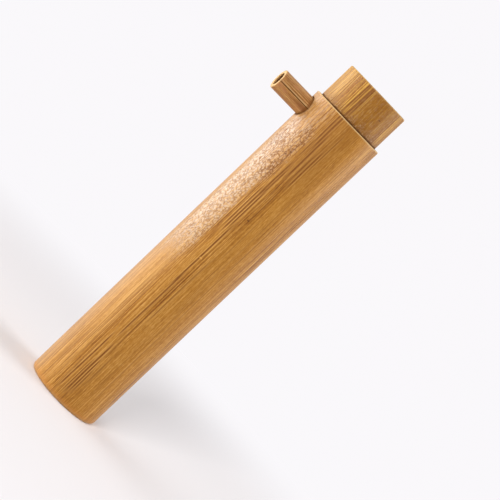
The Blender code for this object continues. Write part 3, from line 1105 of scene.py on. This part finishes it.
def smooth_copy(node, name, material):
    """A merged, smoothly shaded copy of a solid, in place of its loose triangles."""
    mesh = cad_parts[node].data.copy()
    mesh.materials.clear()
    mesh.materials.append(material)
    bm = bmesh.new()
    bm.from_mesh(mesh)
    bmesh.ops.remove_doubles(bm, verts=bm.verts, dist=0.001 * MM)
    heights = [vert.co.z for vert in bm.verts]
    bm.to_mesh(mesh)
    bm.free()
    low_end = min(heights) + SAWN_DEPTH
    high_end = max(heights) - SAWN_DEPTH
    set_attribute(mesh, "cut_end", [0.0 if low_end <= height <= high_end else 1.0 for height in heights])
    set_attribute(mesh, "skin", [1.0] * len(heights))
    shade(mesh)
    place_piece(add_object(name, mesh), node)


def soft_light(name, watts, size, azimuth, distance, height, aim_height):
    """A rectangular soft light in metres that faces a height on the whistle's axis."""
    light = bpy.data.lights.new(name, "AREA")
    light.shape = "RECTANGLE"
    light.size, light.size_y = size
    light.energy = watts
    item = add_object(name, light)
    angle = math.radians(azimuth)
    item.location = (distance * math.cos(angle), distance * math.sin(angle), height)
    aim = Vector((0.0, 0.0, aim_height)) - item.location
    item.rotation_euler = aim.to_track_quat("-Z", "Y").to_euler()


def make_camera(studio):
    """The photograph's view: level with the collar, through a long lens and rolled."""
    camera = bpy.data.cameras.new("camera")
    camera.lens = studio.focal_length
    item = add_object("camera", camera)
    side = studio.azimuth
    place = Vector((studio.distance * math.sin(side), -studio.distance * math.cos(side),
                    CULM_HIGH.z + studio.above_rim))
    level = Matrix.Rotation(side, 4, "Z") @ Matrix.Rotation(math.radians(90), 4, "X")
    aim = (Matrix.Rotation(-studio.pitch, 4, "X") @ Matrix.Rotation(-studio.yaw, 4, "Y")
           @ Matrix.Rotation(studio.roll, 4, "Z"))
    item.matrix_world = Matrix.Translation(place) @ level @ aim
    bpy.context.scene.camera = item


def make_floor(studio):
    """A pale floor that takes a soft shadow and fades into the background."""
    bm = bmesh.new()
    bmesh.ops.create_circle(bm, cap_ends=True, segments=FLOOR_SIDES, radius=FLOOR_RADIUS)
    mesh = bpy.data.meshes.new("floor")
    bm.to_mesh(mesh)
    bm.free()
    material = bpy.data.materials.new("floor")
    material.use_nodes = True
    nodes = Nodes(material.node_tree)
    shader = nodes.tree.nodes["Principled BSDF"]
    nodes.feed(shader, {"Base Color": opaque(studio.floor), "Roughness": 0.9, "Specular IOR Level": 0.1})
    far = nodes.smooth(nodes.distance(nodes.add("ShaderNodeTexCoord", output="Object")), *FLOOR_FADE)
    white = nodes.add("ShaderNodeEmission", {}, {"Color": opaque(studio.background), "Strength": 1.0})
    nodes.mix_shaders(far * nodes.sees_background(), Signal(nodes, shader.outputs[0]), white,
                      "Material Output")
    mesh.materials.append(material)
    floor = add_object("floor", mesh)


def make_world(studio):
    """Even light from all sides, and white where the camera and gloss look past the floor."""
    world = bpy.data.worlds.new("studio")
    bpy.context.scene.world = world
    world.use_nodes = True
    nodes = Nodes(world.node_tree)
    sky = nodes.tree.nodes["Background"]
    nodes.feed(sky, {"Color": (1.0, 1.0, 1.0, 1.0), "Strength": studio.sky})
    white = nodes.add("ShaderNodeBackground", {}, {"Color": opaque(studio.background), "Strength": 1.0})
    nodes.mix_shaders(nodes.sees_background(), Signal(nodes, sky.outputs[0]), white, "World Output")


class WHISTLE_OT_stage(bpy.types.Operator):
    """Make the floor, the lights, the white background and the camera"""
    bl_idname = "whistle.stage"
    bl_label = "Studio"

    def execute(self, context):
        studio = context.scene.whistle_studio
        context.scene.view_settings.view_transform = "Standard"
        make_world(studio)
        make_floor(studio)
        middle = CULM_HIGH.z / 2
        soft_light("key_light", studio.key_power, size=(1.1, 0.28), azimuth=165.5, distance=0.75,
                   height=0.10, aim_height=0.04)
        soft_light("fill_light", studio.fill_power, size=(0.28, 0.28), azimuth=-118.0, distance=1.0,
                   height=0.78, aim_height=middle)
        soft_light("rim_light", studio.rim_power, size=(0.6, 0.6), azimuth=-4.0, distance=0.8,
                   height=0.36, aim_height=middle)
        soft_light("top_light", studio.top_power, size=(1.0, 1.0), azimuth=90.0, distance=0.05,
                   height=1.3, aim_height=middle)
        make_camera(studio)
        return {"FINISHED"}


class WHISTLE_PT_panel(bpy.types.Panel):
    """Buttons and settings for the whistle"""
    bl_idname = "WHISTLE_PT_panel"
    bl_label = "Bird whistle"
    bl_space_type = "VIEW_3D"
    bl_region_type = "UI"
    bl_category = "Bird whistle"

    def draw(self, context):
        column = self.layout.column()
        for operator in OPERATORS:
            column.operator(operator.bl_idname)
        for group in SETTINGS:
            settings = getattr(context.scene, group)
            for name in settings.bl_rna.properties.keys():
                if name not in ("rna_type", "name"):
                    column.prop(settings, name)


OPERATORS = (WHISTLE_OT_stage, WHISTLE_OT_culm, WHISTLE_OT_collar, WHISTLE_OT_mouthpiece,
             WHISTLE_OT_pipe)
SETTINGS = {"whistle_sizes": WhistleSizes, "whistle_colours": WhistleColours,
            "whistle_studio": StudioSettings}


def register():
    for settings in SETTINGS.values():
        bpy.utils.register_class(settings)
    for name, settings in SETTINGS.items():
        setattr(bpy.types.Scene, name, bpy.props.PointerProperty(type=settings))
    for cls in (*OPERATORS, WHISTLE_PT_panel):
        bpy.utils.register_class(cls)


def unregister():
    for cls in (WHISTLE_PT_panel, *reversed(OPERATORS)):
        bpy.utils.unregister_class(cls)
    for name in SETTINGS:
        delattr(bpy.types.Scene, name)
    for settings in reversed(SETTINGS.values()):
        bpy.utils.unregister_class(settings)


def main():
    register()
    bpy.ops.whistle.stage()
    bpy.ops.whistle.culm()
    bpy.ops.whistle.collar()
    bpy.ops.whistle.mouthpiece()
    bpy.ops.whistle.pipe()


if __name__ == "__main__":
    main()
